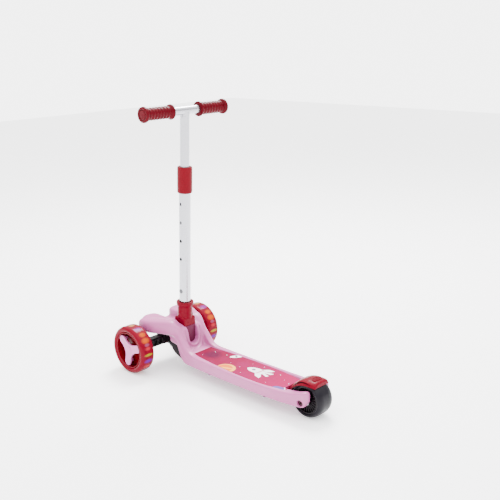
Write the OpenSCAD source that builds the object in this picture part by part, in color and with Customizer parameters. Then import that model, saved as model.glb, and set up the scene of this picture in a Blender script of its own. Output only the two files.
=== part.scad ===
// Three-wheel lean-to-steer children's kick scooter, millimetres.
// +X is forward, +Y is the rider's left, +Z is up. Origin: ground level under the
// centre of the bounding box. Every separate piece is a module of its own.

/* [Wheels] */
// Distance between the front and the rear axle
wheelbase = 485.4; // [470:0.1:500]
// Distance between the mid planes of the two front wheels
track = 218.3; // [216:0.1:226]
// Front wheel diameter
front_d = 120; // [116:0.5:121]
// Front wheel width
front_w = 39.4; // [36:0.1:40]
// Rear wheel diameter
rear_d = 83.4; // [80:0.1:84]
// Rear wheel width
rear_w = 49; // [44:0.5:50]
// Axle diameter, front and rear
axle_d = 7.9; // [7.9:0.01:7.95]

/* [Stem and handlebar] */
// Backward tilt of the stem in degrees
stem_tilt = 3.36; // [3:0.01:3.6]
// Outer diameter of the lower tube
lower_d = 28; // [27.5:0.1:28]
// Outer diameter of the upright tube that slides inside it
upper_d = 22; // [21.9:0.05:22]
// Handlebar crossbar diameter
bar_d = 20; // [19:0.1:20.5]
// Distance along the stem between two height holes
hole_pitch = 46; // [44:0.5:46]
// Half length of the handlebar over the grips
bar_half = 125.5; // [122:0.5:127]

/* [Deck] */
// Outer half width of the rear fork arms
arm_out = 42; // [41.5:0.5:43]
// Height of the underside of the deck above the ground
deck_bottom = 27; // [25:0.5:28]
// Thickness of the printed top mat
mat_t = 2.4; // [1.5:0.1:3]

/* [Brake] */
// Gap between the brake shoe and the tyre
brake_gap = 1.9; // [1.9:0.1:2.2]
// Thickness of the fender shell
fender_t = 2.2; // [2:0.1:2.3]

/* [Hidden] */
$fn = 64;

fr = front_d / 2;                 // front wheel radius
rr = rear_d / 2;                  // rear wheel radius
fx = (wheelbase + rr - fr) / 2;   // front axle, forward position
rx = fx - wheelbase;              // rear axle, forward position
ty = track / 2;                   // mid plane of a front wheel
kx = fx - 10; kz = 66;            // centre of the steering hub on the kingpin
stem_x = 160.1; stem_z = 120;     // zero point of the stem axis
s_bar = 525.1;                    // crossbar centre along the stem
s_sleeve0 = 330.3; s_sleeve1 = 393.3;
s_tube1 = 382;                    // top end of the lower tube
s_button = 257.5;                 // height button at rest, second hole from the top
s_base = 82.4;                    // base lock button
s_foot = 225.4;                   // lower end of the upright tube
collar_top = 54.6;
mat_x0 = -204.6; mat_x1 = 100.7;  // ends of the mat
mat_slope = 0.01695;              // rise of the mat per mm forward
bx = -196.5; bz = 45.5;           // brake hinge

function hw(x) = x < -95 ? arm_out + 9.5 - 9.5 * pow((x + 95) / 172, 2) : arm_out + 9.5 - 4.5 * pow((x + 95) / 200, 2);
function mat_hw(x) = x < -101.5 ? 42.4 - 10.3 * pow((x + 101.5) / 110.5, 2) : 42.4 - 12.4 * pow((x + 101.5) / 202.2, 2);
function mat_z(x) = 51.2 + (x + 212) * mat_slope;
function mirror_y(p) = [for (i = [len(p) - 1 : -1 : 0]) [p[i][0], -p[i][1]]];
function strip(x0, x1, n, d) = [for (i = [0 : n]) let (x = x0 + (x1 - x0) * i / n) [x, hw(x) + d]];
function mat_strip(x0, x1, n, d) = [for (i = [0 : n]) let (x = x0 + (x1 - x0) * i / n) [x, mat_hw(x) + d]];
function arc(cx, cy, r, a0, a1, n) = [for (i = [0 : n]) let (a = a0 + (a1 - a0) * i / n) [cx + r * cos(a), cy + r * sin(a)]];

module side(w, pts) rotate([90, 0, 0]) linear_extrude(height = w, center = true) polygon(pts);
module ycyl(x, z, r, y0, y1) translate([x, y0, z]) rotate([-90, 0, 0]) cylinder(h = y1 - y0, r = r);
module yring(x, z, r1, r0, y0, y1) difference() { ycyl(x, z, r1, y0, y1); ycyl(x, z, r0, y0 - 1, y1 + 1); }
module stem() translate([stem_x, 0, stem_z]) rotate([0, -stem_tilt, 0]) children();
module kingpin() translate([kx, 0, kz]) rotate([0, 45, 0]) children();
module both() { children(); mirror([0, 1, 0]) children(); }

// ---------------------------------------------------------------- deck
function board_side() = [
  [-269.8, 48], [-269.8, 65.6], [-268, 68.4], [-264.5, 69.5], [-257, 67.6],
  [-245, 64], [-228.5, 59.9], [-212, 57.7], [-190, 56.4], [-147.5, 55], [-77.5, 54.9], [-35, 55.4], [4.5, 56.4],
  [45, 57.3], [79.5, 58.6], [92, 60.6], [102, 65], [110, 72], [117, 81.5], [128.5, 97], [140, 111.5], [152, 123],
  [162, 128.5], [172, 130.5], [182, 130.5], [182, 93], [176, 92], [173, 84], [172, 73], [160, 71.5], [146, 69.5],
  [139, 56], [131.5, 40], [125, 31], [117, 27.6], [91.5, deck_bottom + 0.3], [4.5, deck_bottom],
  [-190, deck_bottom], [-244.5, 28.6], [-254, 29.6], [-258.5, 31.8]];
function half_nose(i) = [
  [152, 46 - i], [172, 46.5 - i], [190, 48.5 - i], [204, 53 - i], [213 + i * 0.7, 59 - i * 0.7], [219 + i, 66],
  [226 + i, 73 - i * 0.4], [234 + i * 0.5, 76.8 - i], [244, 77.8 - i], [253 - i * 0.5, 75.5 - i], [260 - i, 69 - i * 0.3],
  [262 - i, 60], [260 - i, 45], [254 - i, 28], [251.5 - i, 16], [251 - i, 0]];
module nose_plan(i) polygon(concat(half_nose(i), mirror_y(half_nose(i))));

module deck_shell() color([0.93, 0.68, 0.84]) difference() {
  union() {
    intersection() {
      side(130, board_side());
      linear_extrude(height = 140) polygon(concat(strip(-300, 183, 42, 0), mirror_y(strip(-300, 183, 42, 0))));
    }
    // nose with its two wings, dipped along the middle
    difference() {
      translate([0, 0, 92]) linear_extrude(height = 38.5) nose_plan(0);
      side(44, [[150, 124], [184, 119], [200, 113.4], [225, 110], [300, 108], [300, 140], [150, 140]]);
      // rounded wing tips
      both() translate([140, 0, 0]) rotate([90, 0, 90]) linear_extrude(height = 130) polygon([[56, 130.6], [64, 129.4], [70.5, 126.6], [75.5, 121.5], [78.2, 114], [79, 104], [90, 104], [90, 140], [56, 140]]);
      both() translate([0, 22, 0]) rotate([0, 90, 0]) translate([-140, 0, 178]) linear_extrude(height = 120)
        polygon([[0, -1], [22.5, -1], [9.5, 9], [0, 9]]);
      // hollow from below
      translate([0, 0, 91]) linear_extrude(height = 13.5) difference() { nose_plan(4); translate([100, -100]) square([98, 200]); }
      both() translate([0, 0, 91]) linear_extrude(height = 34) intersection() { nose_plan(4.2); translate([214, 37]) square([60, 22]); }
      both() translate([0, 0, 91]) linear_extrude(height = 20) intersection() { nose_plan(5.2); translate([206, 58.9]) square([70, 30]); }
    }
    // boss of the steering bolt
    intersection() {
      kingpin() translate([0, 0, 22.6]) cylinder(h = 60, r = 14);
      translate([190, -20, 60]) cube([66, 40, 56]);
    }
  }
  // seat of the mat
  translate([0, 0, 0]) intersection() {
    linear_extrude(height = 140) polygon(concat(mat_strip(mat_x0 - 0.4, mat_x1 + 0.2, 36, 0.3), mirror_y(mat_strip(mat_x0 - 0.4, mat_x1 + 0.2, 36, 0.3))));
    side(100, [[-230, mat_z(-230) - mat_t], [130, mat_z(130) - mat_t], [130, 140], [-230, 140]]);
  }
  // space over the mat between the rims at the neck
  side(60, [[70, mat_z(70)], [101, 57], [113, 57.2], [120, 59.5], [125, 66], [128, 80], [131, 96], [134.4, 110], [128, 120], [100, 140], [70, 140]]);
  // U-shaped slot in the back of the neck
  translate([100, 0, 0]) rotate([90, 0, 90]) linear_extrude(height = 47) union() {
    translate([0, 84]) circle(r = 15);
    translate([-15, 84]) square([30, 60]);
  }
  // rear wheel opening
  translate([-310, -28, 0]) cube([104.5, 56, 140]);
  // brake knuckle opening, its way out and the hinge pin hole
  translate([-206, -20.3, 38]) cube([16, 40.6, 60]);
  ycyl(bx, bz, 2.15, -30.5, 30.5);
  // stem socket
  stem() translate([0, 0, -23]) cylinder(h = 90, r = 12.45);
  stem() translate([0, 0, -4]) cylinder(h = 60, r = 14.4);
  side(37.4, [[141.4, 109.6], [178.9, 122.9], [178.9, 140], [141.4, 140]]);
  side(44, [[150, 124], [184, 119], [184, 140], [150, 140]]);
  stem() translate([0, 0, 4]) cylinder(h = 80, r = 28);
  // steering bolt hole
  kingpin() translate([0, 0, 10]) cylinder(h = 32, r = 4.05);
  // axle hole and its counterbores
  ycyl(rx, rr, 4.05, -60, 60);
  ycyl(rx, rr, 7.75, arm_out - 7.5, 60);
  ycyl(rx, rr, 7.75, -60, -arm_out + 7.5);
  // ribbed underside
  for (i = [0 : 5]) both() translate([-182 + i * 46, 1.8, 0]) cube([43, 37 + (i > 0 && i < 5 ? 4 : 0), mat_z(-182 + i * 46) - mat_t - 3.2]);
  // pocket of the black belly cover
  side(70.4, [[100, 26], [119, 26], [127, 36], [138, 58], [146, 70.2], [156, 79], [168, 88], [168, 91.9], [230, 91.9], [230, 0], [100, 0]]);
}

module deck_mat() color([0.83, 0.14, 0.36]) difference() {
  intersection() {
    linear_extrude(height = 140) polygon(concat(mat_strip(mat_x0, mat_x1, 36, 0), mirror_y(mat_strip(mat_x0, mat_x1, 36, 0))));
    side(100, [[-230, mat_z(-230) - mat_t], [130, mat_z(130) - mat_t], [130, mat_z(130)], [-230, mat_z(-230)]]);
  }
  translate([-230, -20.6, 40]) cube([40.2, 41.2, 30]);
}

module belly_cover() color([0.09, 0.09, 0.1]) difference() {
  side(69.6, [[121.6, 28.2], [130, 28.9], [134, 31.4], [142, 35.5], [152, 39], [163, 44], [171, 51], [176, 58], [177.5, 66], [175.5, 70.5], [172.5, 75],
    [168.2, 87.6], [156.3, 78.6], [146.4, 69.8], [138.4, 57.6], [127.4, 35.6]]);
  both() translate([0, 17.5, 0]) side(28, [[133.5, 36], [142, 38.8], [151, 42], [161, 46.8], [168.5, 53], [173, 59.5], [174.3, 65.5],
    [172, 69.5], [169.5, 74.5], [167, 82], [158, 75.4], [149, 67.5], [141.5, 56.5]]);
}

module screw_head(d, h) difference() { cylinder(h = h, d = d); translate([0, 0, h - 1.2]) cylinder(h = 2, d = 2.6, $fn = 6); }
module cover_screws() color("silver") {
  for (y = [-26, 26]) translate([125.6, y, 28.27]) rotate([180, 0, 0]) screw_head(6.5, 1.8);
  for (x = [-150, 30]) for (y = [-1, 1]) translate([x, y * (hw(x) - 5), deck_bottom]) rotate([180, 0, 0]) screw_head(6.5, 1.6);
}

module stem_collar() color([0.82, 0.06, 0.22]) difference() {
  union() {
    stem() difference() {
      union() {
        rotate_extrude() polygon([[10, 1], [16, 1], [18.3, 12], [18.4, 18], [18.7, 30], [18.3, 43],
          [19.4, 44.8], [21.4, 45.6], [21.4, 53.4], [20.4, collar_top], [10, collar_top]]);
      }
      translate([0, 0, -10]) cylinder(h = 80, r = lower_d / 2 + 0.1);
      translate([0, 0, collar_top - 4]) cylinder(h = 10, r = 15.4);
    }
    // square skirt that sits on the sloping seat of the neck
    difference() {
      side(36.8, [[141.7, 109.8], [178.6, 122.9], [178.6, 133], [177, 134.6], [143.3, 134.6], [141.7, 133]]);
      stem() translate([0, 0, -10]) cylinder(h = 80, r = lower_d / 2 + 0.1);
    }
    // tongue that closes the slot of the neck
    translate([139.4, 0, 0]) rotate([90, 0, 90]) linear_extrude(height = 5) union() {
      translate([0, 84]) circle(r = 14.6);
      translate([-14.6, 84]) square([29.2, 32.6]);
    }
  }
  stem() translate([0, 0, -60]) cylinder(h = 50, r = 12.6);
}

module stem_post() color([0.75, 0.76, 0.78]) stem() difference() {
  translate([0, 0, -22]) cylinder(h = 127, r = 12.35);
  translate([0, 0, -18]) cylinder(h = 160, r = 9.4);
  translate([0, 0, s_base]) rotate([-90, 0, 0]) cylinder(h = 20, r = 5.05);
}

module lower_tube() color([0.8, 0.81, 0.83]) stem() difference() {
  translate([0, 0, -3.7]) cylinder(h = s_tube1 + 3.7, r = lower_d / 2);
  translate([0, 0, -5]) cylinder(h = 400, r = 12.5);
  for (i = [0 : 3]) translate([0, 0, s_button + hole_pitch - i * hole_pitch]) rotate([-90, 0, 0]) cylinder(h = 20, r = 4);
  translate([0, 0, s_base]) rotate([-90, 0, 0]) cylinder(h = 20, r = 5.6);
}

module height_sleeve() color([0.85, 0.05, 0.2]) stem() difference() {
  rotate_extrude() polygon([[8, s_sleeve0], [16.6, s_sleeve0], [17.9, s_sleeve0 + 1.4], [18.15, s_sleeve0 + 6],
    [18.15, s_sleeve1 - 6], [17.9, s_sleeve1 - 1.4], [16.6, s_sleeve1], [8, s_sleeve1]]);
  translate([0, 0, s_sleeve0 - 1]) cylinder(h = s_tube1 + 0.1 - s_sleeve0 + 1, r = lower_d / 2 + 0.1);
  translate([0, 0, s_sleeve0]) cylinder(h = 70, r = upper_d / 2 + 0.5);
  translate([0, 0, s_tube1 - 0.1]) cylinder(h = 4.2, r = 13.4);
}

module guide_bush() color([0.1, 0.1, 0.11]) stem() difference() {
  union() {
    translate([0, 0, 346]) cylinder(h = s_tube1 - 346 + 0.1, r = 12.42);
    translate([0, 0, s_tube1 + 0.1]) cylinder(h = 3.8, r = 13.3);
  }
  translate([0, 0, 340]) cylinder(h = 60, r = upper_d / 2 + 0.06);
}

module base_button() color([0.55, 0.56, 0.58]) stem() translate([0, 0, s_base]) rotate([-90, 0, 0])
  rotate_extrude() polygon([[0, 5.4], [5, 5.4], [5, 14.6], [4.3, 15.4], [0, 15.8]]);

module base_spring() color([0.6, 0.61, 0.63]) stem() translate([0, 0, s_base]) {
  translate([-3, 4.2, -9]) cube([6, 1, 18]);
  translate([-3, -8.6, 8]) cube([6, 13.8, 1]);
  translate([-3, -8.6, -9]) cube([6, 1, 18]);
}

// ---------------------------------------------------------------- handlebar
module upright_tube() color([0.8, 0.81, 0.83]) difference() {
  stem() difference() {
    translate([0, 0, s_foot]) cylinder(h = s_bar - s_foot, r = upper_d / 2);
    translate([0, 0, s_foot - 1]) cylinder(h = s_bar, r = 9.2);
    translate([0, 0, s_button]) rotate([-90, 0, 0]) cylinder(h = 20, r = 3.55);
  }
  stem() translate([0, 0, s_bar]) rotate([90, 0, 0]) cylinder(h = 60, r = bar_d / 2 + 0.02, center = true);
}

module crossbar() color([0.8, 0.81, 0.83]) stem() translate([0, 0, s_bar]) rotate([90, 0, 0]) difference() {
  cylinder(h = 2 * (bar_half - 5.6), r = bar_d / 2, center = true);
  cylinder(h = 300, r = bar_d / 2 - 1.6, center = true);
}

module stem_foot() color([0.12, 0.12, 0.13]) stem() difference() {
  union() {
    translate([0, 0, s_foot - 4.2]) cylinder(h = 4.1, r = 12.2);
    translate([0, 0, s_foot - 4]) cylinder(h = 16, r = 9.1);
  }
  translate([0, 0, s_foot - 5]) cylinder(h = 20, r = 6);
}

module height_button() color([0.5, 0.51, 0.53]) stem() translate([0, 0, s_button]) rotate([-90, 0, 0])
  rotate_extrude() polygon([[0, 5], [3.5, 5], [3.5, 12.6], [2.9, 13.4], [0, 13.8]]);

module height_clip() color([0.6, 0.61, 0.63]) stem() translate([0, 0, s_button]) {
  translate([-3, 4.0, -6]) cube([6, 0.8, 24]);
  translate([-3, -8.4, 17.2]) cube([6, 13.2, 0.8]);
  translate([-3, -8.4, -6]) cube([6, 0.8, 24]);
}

// grip on the +Y side, drawn along its own axis
function rib(y) = let (p = (y - 52.5) / 8.6, f = p - floor(p)) f < 0.5 ? 12.7 : 14.5;
module grip() stem() translate([0, 0, s_bar]) rotate([-90, 0, 0]) difference() {
  rotate_extrude() polygon(concat(
    [[8, 41], [16.6, 41], [17.65, 42], [17.65, 44.4], [16.6, 45.6], [13.6, 50], [12.6, 52.5]],
    [for (i = [0 : 6]) for (q = [[14.5, 1.2], [14.5, 5.4], [12.7, 6.6], [12.7, 8.6]]) [q[0], 52.5 + i * 8.8 + q[1]]],
    [[14.2, 115.6], [16.8, 117], [18.3, 119], [18.3, 123.2], [17, bar_half - 0.6], [15, bar_half], [13.4, 124.3], [8, 124.3]]));
  translate([0, 0, 30]) cylinder(h = bar_half - 5.5 - 30, r = bar_d / 2 + 0.05);
  translate([0, 0, 30]) cylinder(h = 120, r = 8.6);
  translate([0, 0, 123.1]) cylinder(h = 10, r = 11.6);
}
module grip_left() color([0.84, 0.05, 0.22]) grip();
module grip_right() color([0.84, 0.05, 0.22]) mirror([0, 1, 0]) grip();

module bar_plug() stem() translate([0, 0, s_bar]) rotate([-90, 0, 0]) union() {
  translate([0, 0, 112]) cylinder(h = 11.6, r = 8.3);
  rotate_extrude() polygon([[0, 123.2], [11.2, 123.2], [11.2, 124.2], [9.4, 125.1], [0, 125.5]]);
}
module bar_plug_left() color([0.86, 0.1, 0.26]) bar_plug();
module bar_plug_right() color([0.86, 0.1, 0.26]) mirror([0, 1, 0]) bar_plug();

// ---------------------------------------------------------------- steering
module kingpin_bolt() color("silver") kingpin() difference() {
  union() {
    translate([0, 0, -30]) cylinder(h = 71, r = 3.95);
    translate([0, 0, -32]) cylinder(h = 3, r = 7.5);
  }
  translate([0, 0, -33]) cylinder(h = 3.4, r = 3, $fn = 6);
}
module kingpin_nut() color("silver") kingpin() difference() {
  union() {
    translate([0, 0, -28.9]) cylinder(h = 1.6, r = 11);
    translate([0, 0, 20.9]) cylinder(h = 1.6, r = 11.5);
  }
  translate([0, 0, -40]) cylinder(h = 80, r = 4.02);
}
module steer_bushings() color([0.15, 0.15, 0.16]) kingpin() difference() {
  union() {
    translate([0, 0, -27.2]) cylinder(h = 11.5, r = 12);
    translate([0, 0, 15.7]) cylinder(h = 5.1, r = 12.5);
  }
  translate([0, 0, -40]) cylinder(h = 80, r = 4.05);
}

module front_truck() color([0.08, 0.08, 0.09]) difference() {
  union() {
    kingpin() translate([0, 0, -15.4]) cylinder(h = 30.8, r = 15);
    rotate([90, 0, 0]) linear_extrude(height = 150, center = true) polygon([[222, 49.5], [245, 49.5], [246.5, 52], [246.5, 67], [243, 70.5], [224, 70.5], [220.5, 67], [220.5, 52]]);
    side(44, [[219, 50], [248, 50], [248, 74], [244, 78], [224, 78], [219, 74]]);
    for (m = [0, 1]) mirror([0, m, 0]) {
      ycyl(fx, fr, 14.5, 60, 84.6);
      ycyl(fx, fr, 8.2, 84, 91.8);
    }
  }
  kingpin() translate([0, 0, -40]) cylinder(h = 80, r = 6.05);
  // seats of the bushings, above and below the hub
  kingpin() translate([0, 0, 15.4]) cylinder(h = 60, r = 15.4);
  kingpin() translate([0, 0, -75.4]) cylinder(h = 60, r = 13.6);
  ycyl(fx, fr, 4.02, 26, 120);
  ycyl(fx, fr, 4.02, -120, -26);
  // lightening pockets in the front and back faces
  for (m = [0, 1]) mirror([0, m, 0]) for (y = [28, 43]) {
    translate([240, y, 53.5]) cube([8, 12, 13]);
    translate([219, y, 53.5]) cube([7, 12, 13]);
  }
}
module truck_sleeve() color([0.8, 0.62, 0.3]) kingpin() difference() {
  translate([0, 0, -15.4]) cylinder(h = 30.8, r = 6);
  translate([0, 0, -20]) cylinder(h = 40, r = 4.0);
}
module front_axle() color("silver") both() ycyl(fx, fr, axle_d / 2, 26.5, ty + 11.6);
module front_axle_nuts() color("silver") both() difference() {
  union() {
    translate([fx, ty + 6.4, fr]) rotate([-90, 0, 0]) cylinder(h = 4.8, r = 7.2, $fn = 6);
  }
  ycyl(fx, fr, 3.97, 90, 130);
}

// ---------------------------------------------------------------- front wheels (drawn for the left one, axis at y = ty)
module wheel_pos() translate([fx, ty, fr]) rotate([-90, 0, 0]) children();
wh = front_w / 2;
module tyre() wheel_pos() rotate_extrude() polygon(concat(
  [[46.1, -15.5], [48.5, -wh + 1.2], [51.5, -wh]],
  [for (i = [0 : 7]) let (a = -90 + 90 * i / 7) [fr - 8.2 + 8.2 * cos(a), -wh + 9.2 + 9.2 * sin(a)]],
  [for (i = [0 : 7]) let (a = 90 * i / 7) [fr - 8.2 + 8.2 * cos(a), wh - 9.2 + 9.2 * sin(a)]],
  [[48.5, wh - 1.2], [46.1, 15.5], [46.1, 7.2], [50.2, 7.2], [50.2, -7.2], [46.1, -7.2]]));
module rim() wheel_pos() difference() {
  union() {
    rotate_extrude() polygon([[43, -17], [46, -15.6], [46, -7], [46, 15.6], [45.2, 17.6], [43.4, 17.6], [43, 15.5]]);
    translate([0, 0, -6]) cylinder(h = 5, r = 43.2);
    translate([0, 0, -14.6]) cylinder(h = 25.2, r = 13);
    for (a = [0 : 60 : 300]) rotate(a) translate([12, -1.5, -12]) cube([31.5, 3, 8]);
  }
  translate([0, 0, -20]) cylinder(h = 50, r = 8.6);
  translate([0, 0, -14.7]) cylinder(h = 7.2, r = 11);
  translate([0, 0, -1.1]) cylinder(h = 14.2, r = 11);
}
module lobe(a) rotate(a) union() {
  translate([33, 0]) circle(r = 9.8);
  polygon([[0, -15.5], [12, -11.4], [22, -9.4], [33, -9.8], [33, 9.8], [22, 9.4], [12, 11.4], [0, 15.5]]);
}
// the lobes point 43 degrees above forward, and on by thirds
module hub_cover() wheel_pos() difference() {
  union() {
    translate([0, 0, 11]) linear_extrude(height = 4.2) intersection() { circle(r = 42.6); union() { for (a = [43, 163, 283]) lobe(-a); circle(r = 16); } }
    translate([0, 0, 15.1]) cylinder(h = 0.8, r = 9);
    for (a = [43, 163, 283]) rotate(-a) translate([34, 0, -0.9]) cylinder(h = 12.5, r = 3);
  }
  translate([0, 0, 9]) cylinder(h = 3.2, r = 13.1);
}
module wheel_lights() wheel_pos() for (a = [0 : 36 : 324]) rotate(a + 10) translate([46.3, -5.5, -4.5]) cube([3, 11, 9]);
module bearings() wheel_pos() for (z = [-14.6, -1]) translate([0, 0, z]) difference() {
  cylinder(h = 7, r = 10.95);
  translate([0, 0, -1]) cylinder(h = 9, r = 4.0);
}

module tyre_left() color([0.8, 0.05, 0.12, 0.85]) tyre();
module tyre_right() color([0.8, 0.05, 0.12, 0.85]) mirror([0, 1, 0]) tyre();
module rim_left() color([0.6, 0.02, 0.06]) rim();
module rim_right() color([0.6, 0.02, 0.06]) mirror([0, 1, 0]) rim();
module hub_cover_left() color([0.93, 0.68, 0.84]) hub_cover();
module hub_cover_right() color([0.93, 0.68, 0.84]) mirror([0, 1, 0]) hub_cover();
module wheel_lights_left() color([1, 0.7, 0.3]) wheel_lights();
module wheel_lights_right() color([1, 0.7, 0.3]) mirror([0, 1, 0]) wheel_lights();
module bearings_left() color([0.7, 0.7, 0.72]) bearings();
module bearings_right() color([0.7, 0.7, 0.72]) mirror([0, 1, 0]) bearings();

// ---------------------------------------------------------------- rear wheel
module rear_pos() translate([rx, 0, rr]) rotate([-90, 0, 0]) children();
rw = rear_w / 2;
function rear_half() = [[32.1, rw - 3], [33.5, rw], [35.6, rw - 0.3], [38.2, rw - 2], [40.1, rw - 5.2], [41.2, rw - 10], [rr, rw - 16]];
module rear_tyre() color([0.06, 0.06, 0.07]) rear_pos() rotate_extrude() polygon(concat(
  rear_half(), [for (i = [6 : -1 : 0]) [rear_half()[i][0], -rear_half()[i][1]]]));
module rear_hub() color([0.08, 0.08, 0.09]) rear_pos() difference() {
  union() {
    rotate_extrude() polygon([[28.6, -rw + 2.5], [32, -rw + 3.1], [32, rw - 3.1], [28.6, rw - 2.5]]);
    translate([0, 0, -22]) cylinder(h = 44, r = 13);
    cylinder(h = 4, r = 29, center = true);
    for (a = [0 : 15 : 345]) rotate(a) translate([12, -0.9, -19]) cube([17.5, 1.8, 38]);
  }
  cylinder(h = 60, r = 8.5, center = true);
  translate([0, 0, 15]) cylinder(h = 10, r = 11);
  translate([0, 0, -25]) cylinder(h = 10, r = 11);
}
module rear_bearings() color([0.7, 0.7, 0.72]) rear_pos() for (z = [-22, 15]) translate([0, 0, z]) difference() {
  cylinder(h = 7, r = 10.95);
  translate([0, 0, -1]) cylinder(h = 9, r = 4.0);
}
module rear_axle() color("silver") rear_pos() difference() {
  union() {
    translate([0, 0, -arm_out + 2]) cylinder(h = 2 * arm_out - 5, r = axle_d / 2);
    translate([0, 0, arm_out - 7.4]) cylinder(h = 4.4, r = 6.6);
  }
  translate([0, 0, arm_out - 5.4]) cylinder(h = 6, r = 3, $fn = 6);
}
module rear_axle_nut() color("silver") rear_pos() difference() {
  translate([0, 0, -arm_out + 2.6]) cylinder(h = 4.8, r = 7.4, $fn = 6);
  translate([0, 0, -arm_out]) cylinder(h = 10, r = 3.97);
}
module rear_spacers() color([0.7, 0.7, 0.72]) both() difference() {
  ycyl(rx, rr, 6, 22.35, 27.9);
  ycyl(rx, rr, 4.02, 20, 32);
}

// ---------------------------------------------------------------- brake
// stations of the fender: x, top z, half width at the crease, half width at the lower edge, height of the turned-down edge
stations = [[-209.6, 66, 20.6, 23.4, 8], [-229, 82, 22, 25.2, 6.8], [-245, 88, 22.6, 26.4, 7.8], [-254, 88.8, 22.6, 26.8, 8.8],
  [-274.5, 88.6, 21.6, 26, 11], [-279.2, 85.4, 19.5, 24.4, 9.6]];
// thin cross-section plate of the fender; i is the wall thickness taken off for the inside
module plate(k, i) let (q = stations[k]) translate([q[0] + (k == 5 ? i : 0) + (k == 0 && i > 0 ? 4 : 0), 0, 0]) rotate([90, 0, 90]) linear_extrude(height = 0.1)
  polygon([for (g = [[-q[3] + i * 0.9, -q[4] - i * 2], [-q[2] + i * 0.8, -3.6 - i], [-14 + i * 0.3, -0.9 - i], [-6, -i],
    [6, -i], [14 - i * 0.3, -0.9 - i], [q[2] - i * 0.8, -3.6 - i], [q[3] - i * 0.9, -q[4] - i * 2]]) [g[0], q[1] + g[1] - (k == 0 && i > 0 ? 4 : 0)]]);
module fender_body(i) {
  hull() { plate(0, i); plate(1, i); }
  hull() { plate(1, i); plate(2, i); }
  hull() { plate(2, i); plate(3, i); plate(4, i); plate(5, i); }
}
module brake_fender() color([0.86, 0.06, 0.24]) difference() {
  union() {
    difference() {
      fender_body(0);
      fender_body(fender_t);
    }
    // lever from the hinge knuckle to the fender
    side(36, [[bx + 4.2, bz - 2], [bx + 4.2, bz + 4], [bx, bz + 6.5], [-203.5, 60], [-208, 64.9], [-212.5, 68.3], [-213, 66.2], [-209.6, 60], [-206.8, 54], [-205.6, bz + 3], [bx - 4, bz - 1]]);
    ycyl(bx, bz, 5.2, -20, 20);
  }
  ycyl(bx, bz, 2.06, -30, 30);
  ycyl(bx, bz, 8, -6, 6);
  // room for the tyre
  ycyl(rx, rr, rr + 2.5, -17.5, 17.5);
  ycyl(rx, rr, rr + 1.7, -21.5, 21.5);
  ycyl(rx, rr, rr + 0.6, -24.7, 24.7);
}
module brake_pad() color([0.8, 0.08, 0.25]) difference() {
  translate([-264.5, 0, 87]) linear_extrude(height = 2.9) union() {
    square([15, 11], center = true);
    translate([0, 5.5]) circle(r = 7.5);
    translate([0, -5.5]) circle(r = 7.5);
  }
  fender_body(0);
  for (i = [-2 : 2]) translate([-264.5 + i * 2.6, 0, 89.9]) cube([1.1, 18, 1], center = true);
}
module brake_shoe() color([0.72, 0.73, 0.75]) difference() {
  translate([-264, -7, 80]) cube([17, 14, 5.9]);
  translate([rx, 20, rr]) rotate([90, 0, 0]) cylinder(h = 40, r = rr + brake_gap, $fn = 240);
}
module brake_pin() color("silver") ycyl(bx, bz, 2, -30, 30);
module brake_spring() color([0.6, 0.61, 0.63]) difference() {
  union() {
    for (i = [0 : 2]) yring(bx, bz, 4.2, 2.6, -5 + i * 3.6, -2.4 + i * 3.6);
    translate([bx - 4.2, -5, bz]) cube([1.4, 9.8, 4]);
  }
  ycyl(bx, bz, 2.6, -10, 10);
}

deck_shell();
deck_mat();
belly_cover();
cover_screws();
stem_collar();
stem_post();
lower_tube();
height_sleeve();
guide_bush();
base_button();
base_spring();
upright_tube();
crossbar();
stem_foot();
height_button();
height_clip();
grip_left();
grip_right();
bar_plug_left();
bar_plug_right();
kingpin_bolt();
kingpin_nut();
steer_bushings();
front_truck();
truck_sleeve();
front_axle();
front_axle_nuts();
tyre_left();
rim_left();
hub_cover_left();
wheel_lights_left();
bearings_left();
tyre_right();
rim_right();
hub_cover_right();
wheel_lights_right();
bearings_right();
rear_tyre();
rear_hub();
rear_bearings();
rear_axle();
rear_axle_nut();
rear_spacers();
brake_fender();
brake_pad();
brake_shoe();
brake_pin();
brake_spring();
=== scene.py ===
import bpy, bmesh, math
import numpy as np
from mathutils import Vector, Matrix


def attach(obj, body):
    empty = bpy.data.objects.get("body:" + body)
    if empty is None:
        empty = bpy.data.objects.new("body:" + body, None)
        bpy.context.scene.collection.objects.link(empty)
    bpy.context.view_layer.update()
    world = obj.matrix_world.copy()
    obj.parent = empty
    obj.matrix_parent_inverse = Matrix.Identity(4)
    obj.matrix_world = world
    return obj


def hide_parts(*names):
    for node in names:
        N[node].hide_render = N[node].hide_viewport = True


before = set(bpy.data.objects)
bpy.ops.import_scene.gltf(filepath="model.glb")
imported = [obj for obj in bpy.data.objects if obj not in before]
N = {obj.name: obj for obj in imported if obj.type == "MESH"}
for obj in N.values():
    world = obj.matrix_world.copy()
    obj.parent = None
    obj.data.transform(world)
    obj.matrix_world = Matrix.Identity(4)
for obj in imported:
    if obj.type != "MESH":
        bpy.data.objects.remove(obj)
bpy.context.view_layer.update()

MM = 0.001

# ------------------------------------------------------------------ camera
def unit(v):
    v = np.array(v, float)
    return v / np.linalg.norm(v)

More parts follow.
